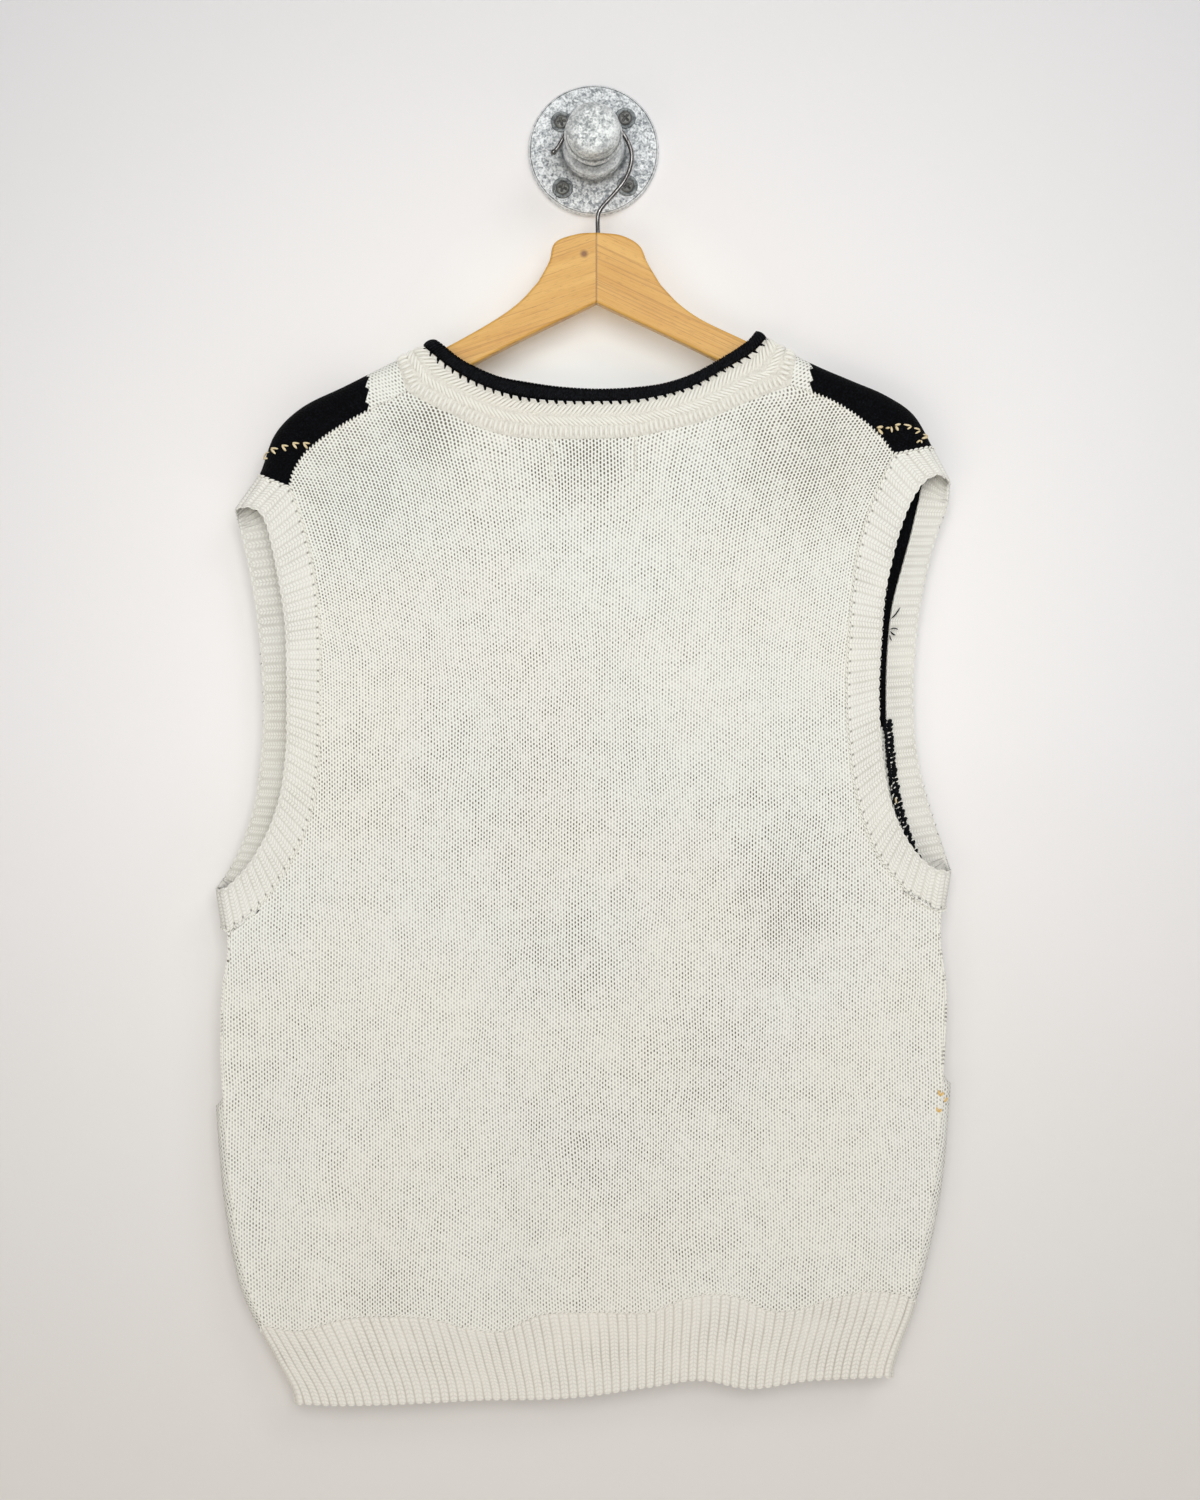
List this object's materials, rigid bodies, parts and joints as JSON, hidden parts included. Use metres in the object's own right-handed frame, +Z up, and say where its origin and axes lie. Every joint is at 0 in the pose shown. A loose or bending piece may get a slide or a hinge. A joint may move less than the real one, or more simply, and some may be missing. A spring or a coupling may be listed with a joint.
{
  "type": "knitted sweater vest on a wooden hanger on a pipe-flange wall hook",
  "caption": "White knitted vest with black neck trim, ribbed arm bands and hem, on a flat wooden hanger hung from a galvanised pipe-flange wall hook.",
  "frame": {"origin": "Centre of the flange's flat back face, where it lies on the wall", "axes": "+Y goes into the wall, +Z is up, +X is to the right for a viewer who faces the wall; the vest's back faces -Y"},
  "size_m": [0.499, 0.062, 0.8943],
  "materials": {
    "knit_white": "matte knit",
    "knit_black": "matte knit",
    "pale_wood": "satin lacquer",
    "hook_steel": "bright drawn wire",
    "galvanised_iron": "galvanised",
    "screw_black": "dull"
  },
  "bodies": {
    "root": {"back_panel": "knit_white", "front_panel": "knit_white", "hem_rib_back": "knit_white", "hem_rib_front": "knit_white", "arm_band_left": "knit_white", "arm_band_right": "knit_white", "neck_band": "knit_white", "neck_trim": "knit_black", "hanger_arm_left": "pale_wood", "hanger_arm_right": "pale_wood", "hanger_hook": "hook_steel", "wall_flange": "galvanised_iron", "pipe_nipple": "galvanised_iron", "pipe_cap": "galvanised_iron", "wall_screw_1": "screw_black", "wall_screw_2": "screw_black", "wall_screw_3": "screw_black", "wall_screw_4": "screw_black"}
  },
  "joints": []
}
